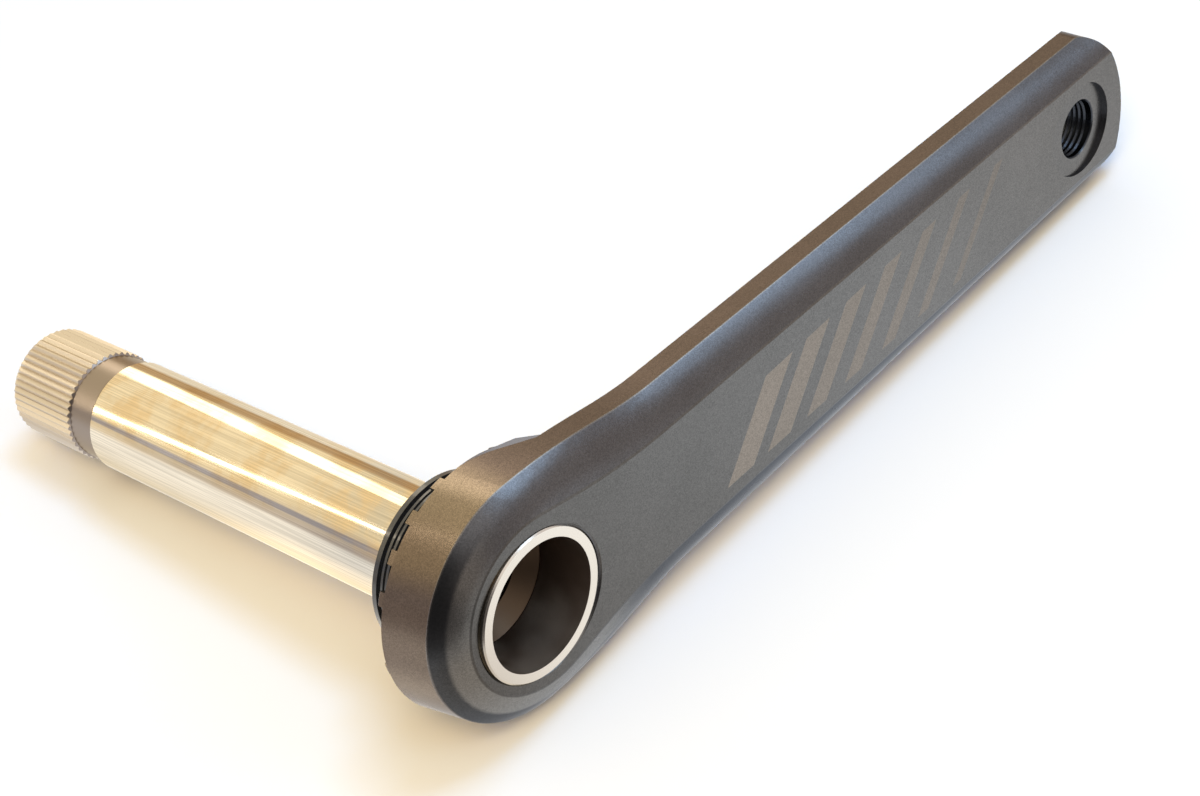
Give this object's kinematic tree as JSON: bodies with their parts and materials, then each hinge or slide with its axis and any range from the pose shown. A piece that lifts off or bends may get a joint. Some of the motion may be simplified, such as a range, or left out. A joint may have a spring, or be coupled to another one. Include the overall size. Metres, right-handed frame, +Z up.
{
  "type": "bicycle crank arm with axle",
  "caption": "Forged right-hand bicycle crank arm with a hollow splined axle pressed in, a castellated boss, a lockring and a threaded pedal hole.",
  "frame": {"origin": "on the axle axis, in the plane of the axle's open mouth on the outer face of the arm", "axes": "+X along the arm towards the pedal hole, +Y inboard along the axle, +Z up, so that the arm lies on its lower edge"},
  "size_m": [0.2179, 0.1528, 0.052],
  "materials": {
    "anodised_arm": "grey satin anodised",
    "plated_axle": "pale gold, polished",
    "black_ring": "gloss black anodised"
  },
  "bodies": {
    "root": {"crank_arm": "anodised_arm", "axle": "plated_axle", "lockring": "black_ring"}
  },
  "joints": []
}
